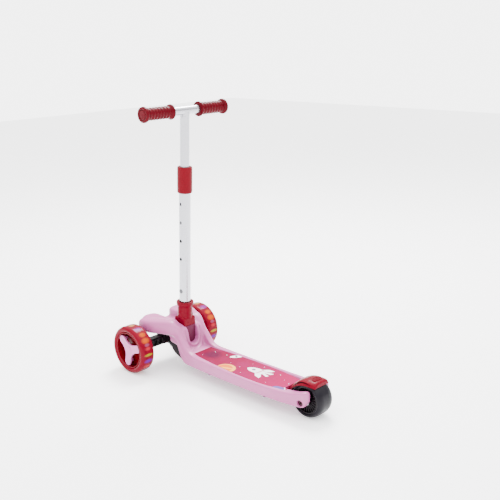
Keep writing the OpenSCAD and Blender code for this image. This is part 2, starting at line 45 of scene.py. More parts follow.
yaw, pitch, roll = -0.80109, 0.26665, -0.021005
d = np.array([math.cos(yaw) * math.cos(pitch), math.sin(yaw) * math.cos(pitch), -math.sin(pitch)])
r = np.array([math.sin(yaw), -math.cos(yaw), 0.0])
u = np.cross(r, d)
r2 = math.cos(roll) * r + math.sin(roll) * u
u2 = -math.sin(roll) * r + math.cos(roll) * u
cam_data = bpy.data.cameras.new("camera")
cam_data.sensor_width = 36
cam_data.lens = 806.84 / 500 * 36
cam_data.clip_start, cam_data.clip_end = 0.01, 50
cam = bpy.data.objects.new("camera", cam_data)
bpy.context.scene.collection.objects.link(cam)
M = Matrix.Identity(4)
for i in range(3):
    M[i][0], M[i][1], M[i][2] = r2[i], u2[i], -d[i]
M[0][3], M[1][3], M[2][3] = -1.28626, 1.25328, 0.82129
cam.matrix_world = M
bpy.context.scene.camera = cam

# ------------------------------------------------------------------ materials
def srgb(r_, g_, b_):
    def f(c):
        c /= 255
        return c / 12.92 if c <= 0.04045 else ((c + 0.055) / 1.055) ** 2.4
    return (f(r_), f(g_), f(b_), 1)

def new_mat(name):
    m = bpy.data.materials.new(name)
    m.use_nodes = True
    nt = m.node_tree
    return m, nt, nt.nodes["Principled BSDF"]

def link(nt, a, b):
    nt.links.new(a, b)

def coord(nt, scale=(1, 1, 1), rot=(0, 0, 0)):
    tc = nt.nodes.new("ShaderNodeTexCoord")
    mp = nt.nodes.new("ShaderNodeMapping")
    mp.inputs["Scale"].default_value = scale
    mp.inputs["Rotation"].default_value = rot
    link(nt, tc.outputs["Object"], mp.inputs["Vector"])
    return mp.outputs["Vector"]

def noise(nt, vec, scale, detail=2.0, rough=0.5, dist=0.0):
    n = nt.nodes.new("ShaderNodeTexNoise")
    n.inputs["Scale"].default_value = scale
    n.inputs["Detail"].default_value = detail
    n.inputs["Roughness"].default_value = rough
    n.inputs["Distortion"].default_value = dist
    link(nt, vec, n.inputs["Vector"])
    return n.outputs["Fac"]

def remap(nt, val, a, b, c, d_, clamp=True):
    n = nt.nodes.new("ShaderNodeMapRange")
    n.clamp = clamp
    for k, v in zip(("From Min", "From Max", "To Min", "To Max"), (a, b, c, d_)):
        n.inputs[k].default_value = v
    link(nt, val, n.inputs["Value"])
    return n.outputs["Result"]

def mixc(nt, fac, c1, c2):
    n = nt.nodes.new("ShaderNodeMix")
    n.data_type = "RGBA"
    for sock, c in ((n.inputs[6], c1), (n.inputs[7], c2)):
        if isinstance(c, bpy.types.NodeSocket):
            link(nt, c, sock)
        else:
            sock.default_value = c
    if isinstance(fac, bpy.types.NodeSocket):
        link(nt, fac, n.inputs[0])
    else:
        n.inputs[0].default_value = fac
    return n.outputs[2]

def math_node(nt, op, a, b=None):
    n = nt.nodes.new("ShaderNodeMath")
    n.operation = op
    for i, v in enumerate((a, b)):
        if v is None:
            continue
        if isinstance(v, bpy.types.NodeSocket):
            link(nt, v, n.inputs[i])
        else:
            n.inputs[i].default_value = v
    return n.outputs[0]

def bump(nt, height, strength, dist=0.0005, normal=None):
    n = nt.nodes.new("ShaderNodeBump")
    n.inputs["Strength"].default_value = strength
    n.inputs["Distance"].default_value = dist
    link(nt, height, n.inputs["Height"])
    if normal is not None:
        link(nt, normal, n.inputs["Normal"])
    return n.outputs["Normal"]

def plastic(name, c1, c2, rough=0.3, dr=0.08, grain=900, grain_s=0.15, patch=14, coat=0.0, sss=0.0, sss_c=None, spec=0.5, metal=0.0):
    m, nt, b = new_mat(name)
    v = coord(nt)
    big = noise(nt, v, patch, 3, 0.55)
    fine = noise(nt, v, grain, 3, 0.6)
    scuff = noise(nt, v, patch * 9, 4, 0.65, 0.3)
    link(nt, mixc(nt, remap(nt, big, 0.3, 0.7, 0, 1), c1, c2), b.inputs["Base Color"])
    link(nt, remap(nt, scuff, 0.35, 0.7, rough - dr * 0.5, rough + dr), b.inputs["Roughness"])
    nb = bump(nt, fine, grain_s, 0.0003)
    link(nt, bump(nt, scuff, grain_s * 0.4, 0.0004, nb), b.inputs["Normal"])
    b.inputs["Coat Weight"].default_value = coat
    b.inputs["Coat Roughness"].default_value = 0.08
    b.inputs["Specular IOR Level"].default_value = spec
    b.inputs["Metallic"].default_value = metal
    if sss:
        b.inputs["Subsurface Weight"].default_value = sss
        b.inputs["Subsurface Radius"].default_value = sss_c or (0.006, 0.003, 0.003)
        b.inputs["Subsurface Scale"].default_value = 1.0
    return m

def lin(r_, g_, b_):
    return (0.84 * r_, 0.84 * g_, 0.84 * b_, 1)
PINK = plastic("pink_moulding", lin(0.47, 0.115, 0.30), lin(0.435, 0.10, 0.27), 0.32, 0.07, 1400, 0.10, 10, coat=0.06, spec=0.3)
PINKC = plastic("pink_cover", lin(0.62, 0.16, 0.42), lin(0.57, 0.14, 0.38), 0.3, 0.07, 1400, 0.10, 14, coat=0.06, spec=0.3)
# painted shade: a dark magenta that stands for the shadowed pocket in the back of the neck, put on the tongue that sits
# in it
SLOT_SHADE = plastic("slot_painted_shade", lin(0.11, 0.012, 0.042), lin(0.09, 0.009, 0.034), 0.4, 0.08, 1200, 0.12, 20, spec=0.1)
CRIMSON = plastic("crimson_moulding", lin(0.15, 0.0006, 0.011), lin(0.13, 0.0005, 0.009), 0.26, 0.05, 1200, 0.06, 14, coat=0.0, spec=0.05)
SLEEVE = plastic("crimson_sleeve", lin(0.14, 0.0006, 0.007), lin(0.12, 0.0005, 0.006), 0.3, 0.05, 1200, 0.06, 14, coat=0.0, spec=0.06)
BLACKP = plastic("black_moulding", lin(0.012, 0.006, 0.010), lin(0.007, 0.004, 0.006), 0.42, 0.1, 1100, 0.25, 12, spec=0.16)
GRIP = plastic("grip_rubber", lin(0.085, 0.0005, 0.005), lin(0.07, 0.0004, 0.004), 0.26, 0.06, 1500, 0.12, 20, coat=0.0, spec=0.06)
HUBBLACK = plastic("hub_black", lin(0.006, 0.003, 0.006), lin(0.004, 0.002, 0.004), 0.35, 0.1, 1000, 0.2, 20, spec=0.15)
GREY = plastic("button_grey", lin(0.10, 0.10, 0.11), lin(0.08, 0.08, 0.09), 0.35, 0.08, 1400, 0.15, 30, spec=0.3)
CAPDARK = plastic("cap_magenta", lin(0.05, 0.004, 0.016), lin(0.035, 0.002, 0.010), 0.35, 0.08, 1200, 0.12, 30, spec=0.2)
RUBBER = plastic("bushing_rubber", lin(0.02, 0.02, 0.022), lin(0.015, 0.015, 0.016), 0.6, 0.1, 700, 0.3, 30, spec=0.2)

def metal(name, c1, c2, rough, brushed=(1, 1, 60), strength=0.08):
    m, nt, b = new_mat(name)
    v = coord(nt, brushed)
    streak = noise(nt, v, 60, 4, 0.6)
    cloud = noise(nt, coord(nt), 25, 3, 0.5)
    link(nt, mixc(nt, remap(nt, streak, 0.3, 0.7, 0, 1), c1, c2), b.inputs["Base Color"])
    link(nt, remap(nt, cloud, 0.3, 0.7, rough - 0.04, rough + 0.06), b.inputs["Roughness"])
    link(nt, bump(nt, streak, strength, 0.0002), b.inputs["Normal"])
    b.inputs["Metallic"].default_value = 1.0
    return m

ALU = metal("tube_aluminium", srgb(182, 182, 187), srgb(170, 170, 176), 0.25, (40, 40, 1), 0.04)
STEEL = metal("zinc_steel", srgb(190, 191, 196), srgb(165, 166, 172), 0.32, (1, 1, 1), 0.1)
BRASS = metal("sleeve_brass", srgb(205, 170, 98), srgb(186, 150, 84), 0.35, (1, 1, 1), 0.1)

def tyre_black():
    m, nt, b = new_mat("tyre_black")
    v = coord(nt)
    big = noise(nt, v, 18, 3, 0.5)
    fine = noise(nt, v, 1200, 2, 0.6)
    link(nt, mixc(nt, big, (0.004, 0.003, 0.005, 1), (0.008, 0.007, 0.010, 1)), b.inputs["Base Color"])
    link(nt, remap(nt, noise(nt, v, 120, 4, 0.6), 0.3, 0.7, 0.26, 0.40), b.inputs["Roughness"])
    link(nt, bump(nt, fine, 0.12, 0.0003), b.inputs["Normal"])
    b.inputs["Specular IOR Level"].default_value = 0.1
    return m
TYRE = tyre_black()

# the coloured lamps of the front wheels: angle above forward in degrees, half angle, half width in mm, colour
LAMPS = [(88, 6.5, 9, (0.9, 0.5, 0.12)), (111, 7.5, 12, (0.42, 0.03, 0.42)), (130, 7, 10, (0.95, 0.17, 0.002)), (146, 8, 12, (0.95, 0.16, 0.004)),
         (157, 4.5, 8, (0.45, 0.10, 0.18)), (166, 5, 8, (0.8, 0.03, 0.05)), (181, 3.8, 13, (0.60, 0.52, 0.01)), (197, 6, 13, (0.22, 0.01, 0.42)),
         (214, 6, 10, (0.8, 0.01, 0.004)), (249, 6.5, 9, (0.95, 0.16, 0.05)), (284, 6, 10, (0.42, 0.03, 0.42)), (318, 6, 10, (0.95, 0.2, 0.004)),
         (350, 5, 11, (0.60, 0.52, 0.01)), (22, 6, 10, (0.8, 0.02, 0.05)), (56, 6, 10, (0.25, 0.01, 0.42))]
def lamp_nodes(nt, base, strength):
    """Base colour and emission of a wheel with its lamps showing, from the angle about the axle."""
    tc = nt.nodes.new("ShaderNodeTexCoord")
    sep = nt.nodes.new("ShaderNodeSeparateXYZ")
    link(nt, tc.outputs["Object"], sep.inputs[0])
    x = math_node(nt, "SUBTRACT", sep.outputs["X"], FX * MM)
    z = math_node(nt, "SUBTRACT", sep.outputs["Z"], FR * MM)
    ang = math_node(nt, "ARCTAN2", z, x)
    y = math_node(nt, "ABSOLUTE", math_node(nt, "SUBTRACT", math_node(nt, "ABSOLUTE", sep.outputs["Y"]), (TY + 1) * MM))
    rad = math_node(nt, "SQRT", math_node(nt, "ADD", math_node(nt, "MULTIPLY", x, x), math_node(nt, "MULTIPLY", z, z)))
    outer = remap(nt, rad, 0.0515, 0.0565, 0, 1)
    col, emi = base, (0, 0, 0, 1)
    for a, wa, wy, c in LAMPS:
        c = (0.72 * c[0], 0.62 * c[1], 0.72 * c[2])
        a = a if a <= 180 else a - 360
        dl = math_node(nt, "ABSOLUTE", math_node(nt, "SUBTRACT", ang, math.radians(a)))
        dl = math_node(nt, "MINIMUM", dl, math_node(nt, "SUBTRACT", 2 * math.pi, dl))
        e = math_node(nt, "ADD", math_node(nt, "POWER", math_node(nt, "DIVIDE", dl, math.radians(wa)), 2.0), math_node(nt, "POWER", math_node(nt, "DIVIDE", y, wy * MM), 2.0))
        f = math_node(nt, "MULTIPLY", remap(nt, e, 0.1, 1.2, 1, 0), outer)
        col = mixc(nt, f, col, tuple(0.4 * q for q in c) + (1,))
        emi = mixc(nt, f, emi, tuple(c) + (1,))
    return col, emi

FX, RX, FR, RR, TY = 233.55, -251.85, 60.0, 41.7, 109.15
def clear_red(name, c, trans, rough=0.12, lamps=0.0):
    m, nt, b = new_mat(name)
    v = coord(nt)
    base = mixc(nt, noise(nt, v, 22, 3, 0.5), c, tuple(q * 0.8 for q in c[:3]) + (1,))
    if lamps:
        base, emi = lamp_nodes(nt, base, lamps)
        link(nt, emi, b.inputs["Emission Color"])
        b.inputs["Emission Strength"].default_value = lamps
    link(nt, base, b.inputs["Base Color"])
    link(nt, remap(nt, noise(nt, v, 150, 3, 0.6), 0.3, 0.7, rough - 0.03, rough + 0.06), b.inputs["Roughness"])
    link(nt, bump(nt, noise(nt, v, 700, 2, 0.5), 0.06, 0.0003), b.inputs["Normal"])
    b.inputs["Transmission Weight"].default_value = trans
    b.inputs["IOR"].default_value = 1.47
    b.inputs["Specular IOR Level"].default_value = 0.06
    b.inputs["Coat Weight"].default_value = 0.0
    b.inputs["Coat Roughness"].default_value = 0.06
    return m
CLEAR = clear_red("wheel_polyurethane", (0.14, 0.0003, 0.010, 1), 0.0, 0.14, 0.5)
RIM = plastic("rim_red", lin(0.15, 0.0004, 0.006), lin(0.12, 0.0003, 0.005), 0.2, 0.05, 900, 0.06, 18, coat=0.0, spec=0.1)

def light_mat():
    m, nt, b = new_mat("light_module")
    v = coord(nt)
    ramp = nt.nodes.new("ShaderNodeValToRGB")
    link(nt, noise(nt, v, 16, 1, 0.5), ramp.inputs["Fac"])
    ramp.color_ramp.elements[0].color = srgb(255, 140, 40)
    ramp.color_ramp.elements[1].color = srgb(250, 230, 110)
    link(nt, ramp.outputs["Color"], b.inputs["Base Color"])
    link(nt, ramp.outputs["Color"], b.inputs["Emission Color"])
    b.inputs["Emission Strength"].default_value = 0.6
    b.inputs["Roughness"].default_value = 0.3
    return m
LIGHT = light_mat()

def mat_print():
    """Printed mat: deeper red at the front, pinker at the back, with a violet cloud near the neck."""
    m, nt, b = new_mat("mat_print")
    tc = nt.nodes.new("ShaderNodeTexCoord")
    sep = nt.nodes.new("ShaderNodeSeparateXYZ")
    link(nt, tc.outputs["Object"], sep.inputs[0])
    v = tc.outputs["Object"]
    base = mixc(nt, remap(nt, sep.outputs["X"], -0.19, 0.10, 0, 1), (0.27, 0.004, 0.062, 1), (0.125, 0.0012, 0.02, 1))
    base = mixc(nt, math_node(nt, "MULTIPLY", remap(nt, noise(nt, v, 26, 3, 0.5), 0.42, 0.62, 0, 1), 0.30), base, (0.2, 0.012, 0.08, 1))
    dx = math_node(nt, "DIVIDE", math_node(nt, "SUBTRACT", sep.outputs["X"], 0.062), 0.026)
    dy = math_node(nt, "DIVIDE", math_node(nt, "SUBTRACT", sep.outputs["Y"], 0.0), 0.024)
    rr_ = math_node(nt, "ADD", math_node(nt, "MULTIPLY", dx, dx), math_node(nt, "MULTIPLY", dy, dy))
    cloud = math_node(nt, "MULTIPLY", remap(nt, math_node(nt, "ADD", rr_, math_node(nt, "MULTIPLY", noise(nt, v, 70, 3, 0.6), 1.4)), 0.9, 1.9, 1, 0), 0.75)
    base = mixc(nt, cloud, base, (0.05, 0.005, 0.024, 1))
    link(nt, base, b.inputs["Base Color"])
    link(nt, remap(nt, noise(nt, v, 110, 4, 0.6), 0.35, 0.7, 0.42, 0.55), b.inputs["Roughness"])
    link(nt, bump(nt, noise(nt, v, 1100, 3, 0.6), 0.2, 0.0003), b.inputs["Normal"])
    b.inputs["Specular IOR Level"].default_value = 0.03
    return m
MATM = mat_print()
INK = {k: plastic("ink_" + k, c + (1,), tuple(0.9 * q for q in c) + (1,), 0.45, 0.1, 900, 0.15, 40, spec=0.08)
       for k, c in {"white": (0.86, 0.80, 0.84), "grey": (0.12, 0.14, 0.16), "orange": (0.60, 0.12, 0.012), "yellow": (0.75, 0.32, 0.06), "violet": (0.10, 0.065, 0.26), "pale": (0.62, 0.50, 0.72), "pink": (0.5, 0.08, 0.16)}.items()}

# ------------------------------------------------------------------ mesh helpers (all in millimetres, row frame)
def obj_from(name, verts, faces, mat=None, smooth=True):
    me = bpy.data.meshes.new(name)
    me.from_pydata([tuple(float(c) * MM for c in v) for v in verts], [], faces)
    me.validate()
    o = bpy.data.objects.new(name, me)
    bpy.context.scene.collection.objects.link(o)
    bm = bmesh.new()
    bm.from_mesh(me)
    bmesh.ops.remove_doubles(bm, verts=bm.verts, dist=1e-7)
    bmesh.ops.recalc_face_normals(bm, faces=bm.faces)
    bm.to_mesh(me)
    bm.free()
    if mat:
        me.materials.append(mat)
    for p in me.polygons:
        p.use_smooth = smooth
    return o

def rings(name, rs, mat=None, closed=True, cap=True, loop=False):
    """Skin of a list of rings, each a list of points with the same count."""
    n = len(rs[0])
    verts = [p for r_ in rs for p in r_]
    faces = []
    m = len(rs)
    for i in range(m if loop else m - 1):
        a, b_ = i * n, ((i + 1) % m) * n
        for j in range(n if closed else n - 1):
            k = (j + 1) % n
            faces.append((a + j, a + k, b_ + k, b_ + j))
    if cap and not loop:
        faces.append(tuple(range(n))[::-1])
        faces.append(tuple((m - 1) * n + j for j in range(n)))
    return obj_from(name, verts, faces, mat)

def sup(a, b, p, n=40):
    """Points of a superellipse."""
    out = []
    for i in range(n):
        t = 2 * math.pi * i / n
        c, s = math.cos(t), math.sin(t)
        out.append((a * math.copysign(abs(c) ** (2 / p), c), b * math.copysign(abs(s) ** (2 / p), s)))
    return out

def catmull(pts, n):
    """Smooth curve through points, n samples a span; points are tuples of any length."""
    P = [np.array(p, float) for p in pts]
    P = [2 * P[0] - P[1]] + P + [2 * P[-1] - P[-2]]
    out = []
    for i in range(1, len(P) - 2):
        for j in range(n):
            t = j / n
            a, b_, c, e = P[i - 1], P[i], P[i + 1], P[i + 2]
            out.append(0.5 * (2 * b_ + (c - a) * t + (2 * a - 5 * b_ + 4 * c - e) * t * t + (3 * b_ - a - 3 * c + e) * t ** 3))
    out.append(P[-2])
    return out

def sweep(name, pts, n=6, p=2.6, seg=40, up=(0, 0, 1), mat=None):
    """Sweep of a superellipse; each point is x, y, z, half width, half height. The ends are rounded."""
    c = catmull(pts, n)
    rs = []
    for i, q in enumerate(c):
        t = unit(c[min(i + 1, len(c) - 1)][:3] - c[max(i - 1, 0)][:3])
        side = unit(np.cross(t, up))
        hgt = np.cross(side, t)
        rs.append((q[:3], t, side, hgt, q[3], q[4]))
    out = []
    def ring(cn, t, side, hgt, a, b_, off=0.0, k=1.0):
        return [tuple(cn + t * off + side * x * k + hgt * y * k) for x, y in sup(a, b_, p, seg)]
    cn, t, side, hgt, a, b_ = rs[0]
    rad = min(a, b_)
    for k in range(6):
        th = math.pi / 2 * (1 - k / 6)
        out.append(ring(cn, t, side, hgt, a, b_, -rad * math.sin(th), max(math.cos(th), 0.02)))
    out += [ring(*q) for q in rs]
    cn, t, side, hgt, a, b_ = rs[-1]
    rad = min(a, b_)
    for k in range(1, 7):
        th = math.pi / 2 * k / 6
        out.append(ring(cn, t, side, hgt, a, b_, rad * math.sin(th), max(math.cos(th), 0.02)))
    return rings(name, out, mat)

def lathe(name, prof, origin, axis, ref=(1, 0, 0), seg=96, mat=None, a0=0.0, a1=360.0):
    """Revolves [(radius, along)] about the axis. A closed profile."""
    ax = unit(axis)
    e1 = unit(np.array(ref) - ax * np.dot(ref, ax))
    e2 = np.cross(ax, e1)
    o = np.array(origin, float)
    rs = []
    full = abs(a1 - a0) >= 360
    for i in range(seg if full else seg + 1):
        t = math.radians(a0 + (a1 - a0) * i / seg)
        rs.append([tuple(o + ax * h + (e1 * math.cos(t) + e2 * math.sin(t)) * r_) for r_, h in prof])
    return rings(name, rs, mat, loop=full)

def prism(name, poly, axis, a, b_, mat=None, bev=0.0, seg=2):
    """Extrudes a 2D outline along x, y or z. The outline's axes are the other two in order (for y: x then z)."""
    def pt(p, h):
        return {"x": (h, p[0], p[1]), "y": (p[0], h, p[1]), "z": (p[0], p[1], h)}[axis]
    n = len(poly)
    verts = [pt(p, a) for p in poly] + [pt(p, b_) for p in poly]
    faces = [tuple(range(n)), tuple(range(n, 2 * n))[::-1]] + [(i, (i + 1) % n, n + (i + 1) % n, n + i) for i in range(n)]
    o = obj_from(name, verts, faces, mat, smooth=bev > 0)
    if bev:
        bevel(o, bev, seg)
    return o

def bevel(o, w, seg=2, angle=35):
    md = o.modifiers.new("edge", "BEVEL")
    md.width = w * MM
    md.segments = seg
    md.limit_method = "ANGLE"
    md.angle_limit = math.radians(angle)
    md.harden_normals = False
    return o

def cyl(name, p0, axis, r_, h, mat=None, seg=64):
    return lathe(name, [(0.001, 0), (r_, 0), (r_, h), (0.001, h)], p0, axis, ref=(0.3, 0.2, 0.9) if abs(axis[2]) < 0.9 else (1, 0, 0), seg=seg, mat=mat)

def apply(o):
    dg = bpy.context.evaluated_depsgraph_get()
    me = bpy.data.meshes.new_from_object(o.evaluated_get(dg), depsgraph=dg)
    o.modifiers.clear()
    old = o.data
    o.data = me
    bpy.data.meshes.remove(old)
    return o

def join(objs, name):
    """One object from several, with their modifiers applied."""
    bm = bmesh.new()
    for o in objs:
        apply(o)
        me = o.data
        bm.from_mesh(me)
    me = bpy.data.meshes.new(name)
    bm.to_mesh(me)
    bm.free()
    for o in objs:
        bpy.data.objects.remove(o)
    out = bpy.data.objects.new(name, me)
    bpy.context.scene.collection.objects.link(out)
    return out

def remesh(o, voxel, smooth=0, factor=0.5):
    md = o.modifiers.new("r", "REMESH")
    md.mode = "VOXEL"
    md.voxel_size = voxel * MM
    md.use_smooth_shade = True
    if smooth:
        s = o.modifiers.new("s", "SMOOTH")
        s.factor = factor
        s.iterations = smooth
    return apply(o)

def cut(o, tools, op="DIFFERENCE", solver="EXACT"):
    for t in tools:
        md = o.modifiers.new("b", "BOOLEAN")
        md.operation = op
        md.object = t
        md.solver = solver
        apply(o)
        bpy.data.objects.remove(t)
    return o

def finish_piece(o, body, mat=None, nodes=(), angle=None):
    if mat is not None:
        o.data.materials.clear()
        o.data.materials.append(mat)
    for p in o.data.polygons:
        p.use_smooth = True
    if angle is not None:
        bm = bmesh.new()
        bm.from_mesh(o.data)
        for e in bm.edges:
            if len(e.link_faces) == 2 and e.calc_face_angle() > math.radians(angle):
                e.smooth = False
        bm.to_mesh(o.data)
        bm.free()
    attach(o, body)
    if nodes:
        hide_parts(*nodes)
    return o

def tab(xs, ys):
    xs, ys = np.array(xs, float), np.array(ys, float)
    return lambda x: float(np.interp(x, xs, ys))

# ------------------------------------------------------------------ sizes, millimetres, as in the CAD
FX, RX, FR, RR, TY = 233.55, -251.85, 60.0, 41.7, 109.15
TILT = math.radians(3.36)
SX, SZ = 160.1, 120.0
SDIR = np.array([-math.sin(TILT), 0, math.cos(TILT)])
SFWD = np.array([math.cos(TILT), 0, math.sin(TILT)])
def sp(s, fwd=0.0, y=0.0):
    """A point of the stem: s along it, fwd in front of it, y to the left."""
    return np.array([SX, 0, SZ]) + SDIR * s + SFWD * fwd + np.array([0, y, 0])

def hw(x):
    base = 51.5 - 9.5 * ((x + 95) / 172) ** 2 if x < -95 else 51.5 - 4.5 * ((x + 95) / 200) ** 2
    if x < -257:
        t_ = min((-257 - x) / 12.9, 1.0)
        base -= 8.5 * (1 - math.sqrt(max(0.0, 1 - t_ * t_)))
    return base
def mat_hw(x):
    return 42.4 - 10.3 * ((x + 101.5) / 110.5) ** 2 if x < -101.5 else 42.4 - 12.4 * ((x + 101.5) / 202.2) ** 2
def mat_z(x):
    return 51.2 + (x + 212) * 0.01695

def piece(o, body, mat, nodes=(), angle=None):
    return finish_piece(o, body, mat, nodes, angle)

def fuse(parts, name, voxel, smooth=3):
    o = join(parts, name)
    return remesh(o, voxel, smooth)

def carve(o, tools, op="DIFFERENCE"):
    return cut(o, tools, op, "MANIFOLD")

def boxt(x0, y0, z0, dx, dy, dz):
    return prism("t", [(x0, y0), (x0 + dx, y0), (x0 + dx, y0 + dy), (x0, y0 + dy)], "z", z0, z0 + dz)

def ytool(x, z, r_, y0, y1, seg=64):
    return lathe("t", [(0.001, y0), (r_, y0), (r_, y1), (0.001, y1)], (x, 0, z), (0, 1, 0), seg=seg)

# ------------------------------------------------------------------ deck moulding
z_top = tab([-270, -268, -264.5, -257, -245, -228.5, -212, -190, -147.5, -77.5, -35, 4.5, 45, 79.5, 92, 102, 110, 117, 128.5, 140, 152, 162, 172, 182],
            [64, 68.0, 69.3, 67.6, 64, 59.9, 57.7, 56.4, 55, 54.9, 55.4, 56.4, 57.3, 58.6, 60.6, 65, 72, 81.5, 97, 111.5, 122.5, 128, 130, 130.2])
z_bot = tab([-270, -264, -258.5, -254, -244.5, -190, 4.5, 91.5, 109, 117, 125, 131.5, 139, 144.5, 146, 160, 172, 173, 176, 182],
            [48, 39.6, 31.8, 29.6, 28.6, 27, 27, 27.3, 27.4, 28.2, 31.5, 40, 56, 68.5, 69.5, 71.5, 73, 84, 92, 93])
z_mid = tab([-290, 101, 108, 116, 121, 125, 128, 131, 134.5, 139, 146, 152, 160, 172, 182],
            [0, 0, 57.2, 58.2, 60.2, 66.5, 80, 96, 109, 113.5, 117, 118.5, 119.5, 119.6, 119])
def floor_z(x):
    if x < -205.6:
        return z_top(x) - 0.6
    return mat_z(x) - 2.45 if x < 100.9 else max(z_mid(x), mat_z(x) - 0.3)

def deck_half(x):
    zf, zt, zb, h = floor_z(x), z_top(x), z_bot(x), hw(x)
    k = min(max((x - 96) / 30, 0), 1)
    yi = mat_hw(x) + 0.35 if x < 101 else mat_hw(101) + 0.35 - (x - 101) * 0.05 - 5.5 * min(max((x - 136) / 12, 0), 1)
    if x < -205.6:
        yi = 20
    ri, ro = 1.3 + 4.7 * k, 3.0 + 5.0 * k
    zs = zb + (zt - zb) * 0.47
    ri = min(ri, max(zt - zf, 0.5))
    out = [(0, zf), (yi * 0.5, zf), (yi - 0.02, zf), (yi, zf + 0.05)]
    out += [(yi + ri - ri * math.cos(a), zt - ri + ri * math.sin(a)) for a in (0, 0.4, 0.8, 1.2, 1.57)]
    out += [(h - ro + ro * math.sin(a), zt - ro + ro * math.cos(a)) for a in (0, 0.4, 0.8, 1.2, 1.57)]
    out += [(h, max(zs + 0.8, zb + 8)), (h - 1.1, zs), (h - 1.1, zb + 6.5), (h - 2.0, zb + 2.6), (h - 5, zb + 0.5), (h - 9, zb), (h * 0.5, zb), (0, zb)]
    return out

def deck_mesh():
    xs = list(np.arange(-270, -250, 1.5)) + list(np.arange(-249, -207, 4.0)) + [-205.7, -205.5] + list(np.arange(-202, 96, 4.0)) + list(np.arange(96, 183, 1.5))
    rs = []
    for x in xs:
        hlf = deck_half(x)
        rs.append([(x, y, z) for y, z in hlf] + [(x, -y, z) for y, z in hlf[-2:0:-1]])
    parts = [rings("deck_body", rs)]
    for s in (1, -1):
        parts.append(sweep("wing%d" % s, [(136, 36 * s, 86, 7, 13), (150, 37.5 * s, 104, 10, 16), (164, 40 * s, 111, 14, 19), (180, 44 * s, 111.6, 16, 19),
                                          (197, 50.5 * s, 111.6, 17.5, 18.8), (213, 57 * s, 111, 18.5, 18.6), (228, 60.5 * s, 109.6, 17.8, 18), (244, 61.5 * s, 108, 16, 17)], n=5, p=2.7, seg=48))
        pl = [(176, 22), (240, 20), (252, 24), (257, 36), (258, 52), (252, 64), (238, 66), (222, 60), (210, 54), (196, 46), (176, 44)]
        pl = [(x, y * s) for x, y in pl]
        parts.append(prism("shoulder%d" % s, pl, "z", 96, 128.4, bev=7, seg=4))
    nose = [(172, 40), (190, 44), (204, 50), (213, 57), (222, 65), (232, 70), (246, 69), (255, 63), (258, 53), (256, 40), (252, 26), (249.5, 12), (249.5, 0)]
    nose = nose + [(x, -y) for x, y in nose[-2::-1]]
    parts.append(prism("nose", nose, "z", 93.5, 109.5, bev=4, seg=3))
    # boss of the steering bolt
    kd = np.array([math.sqrt(0.5), 0, math.sqrt(0.5)])
    parts.append(cyl("boss", np.array([FX - 10, 0, 66]) + kd * 24, kd, 13.6, 26))
    o = fuse(parts, "deck_moulding", 1.9, 3)
    def side(w, pts):
        return prism("t", pts, "y", -w / 2, w / 2)
    tools = [boxt(-310, -28, 0, 104.5, 56, 140), boxt(-206, -20.3, 38, 16, 40.6, 60)]
    # slot in the back of the neck
    sl = [(15 * math.cos(math.radians(a)), 84 + 15 * math.sin(math.radians(a))) for a in range(180, 361, 12)] + [(15, 150), (-15, 150)]
    tools.append(prism("t", sl, "x", 100, 147))
    tools.append(side(37.4, [(141.4, 109.6), (178.9, 122.9), (178.9, 150), (141.4, 150)]))
    tools.append(side(70.4, [(100, 20), (119, 20), (119, 26), (127, 36), (138, 58), (146, 70.2), (156, 79), (168, 88), (168, 91.9), (172, 92.6), (230, 92.6), (230, 20)]))
    # hollow nose and wings
    ins = [(198, 44), (208, 50), (218, 57), (228, 65), (242, 65), (251, 59), (253, 50), (250, 36), (246, 20), (245, 0)]
    ins = ins + [(x, -y) for x, y in ins[-2::-1]]
    tools.append(prism("t", ins, "z", 80, 104.3))
    for i in range(6):
        for sg in (1, -1):
            w_ = 37 + (4 if 0 < i < 5 else 0)
            tools.append(boxt(-182 + i * 46, 1.8 if sg > 0 else -1.8 - w_, -5, 43, w_, 5 + mat_z(-182 + i * 46) - 2.4 - 3.2))
    carve(o, tools)
    # the boss goes back into the hollow nose
    bb = cyl("boss", np.array([FX - 10, 0, 66]) + kd * 22.6, kd, 13.8, 22)
    o = fuse([o, bb], "deck_moulding", 1.35, 5)
    # ridges around the slot
    me = o.data
    n = len(me.vertices)
    co = np.empty(n * 3); me.vertices.foreach_get("co", co); co = co.reshape(-1, 3) / MM
    no = np.empty(n * 3); me.vertices.foreach_get("normal", no); no = no.reshape(-1, 3)
    rho = np.where(co[:, 2] < 84, np.hypot(co[:, 1], co[:, 2] - 84), np.abs(co[:, 1]))
    hgt = 1.5 * np.exp(-((rho - 18) / 2.2) ** 2) - 1.3 * np.exp(-((rho - 22.6) / 1.9) ** 2) + 1.1 * np.exp(-((rho - 27.5) / 2.4) ** 2)
    wgt = ((co[:, 0] > 112) & (co[:, 0] < 138) & (no[:, 0] < -0.45) & (rho > 15.4) & (rho < 31) & (co[:, 2] > 50) & (co[:, 2] < 108)).astype(float)
    co += no * (hgt * wgt)[:, None]
    me.vertices.foreach_set("co", (co * MM).ravel())
    me.update()
    # crisp holes
    tools = [ytool(RX, RR, 4.05, -60, 60), ytool(RX, RR, 7.75, 34.5, 60), ytool(RX, RR, 7.75, -60, -34.5), ytool(-196.5, 45.5, 2.15, -30.5, 30.5),
             lathe("t", [(0.001, -4), (14.4, -4), (14.4, 60), (0.001, 60)], sp(0), SDIR), lathe("t", [(0.001, -23), (12.45, -23), (12.45, -3.9), (0.001, -3.9)], sp(0), SDIR),
             lathe("t", [(0.001, 10), (4.05, 10), (4.05, 42), (0.001, 42)], (FX - 10, 0, 66), kd, ref=(0, 1, 0))]
    carve(o, tools)
    return o

deck = piece(deck_mesh(), "deck", PINK, ["deck_shell"], 38)

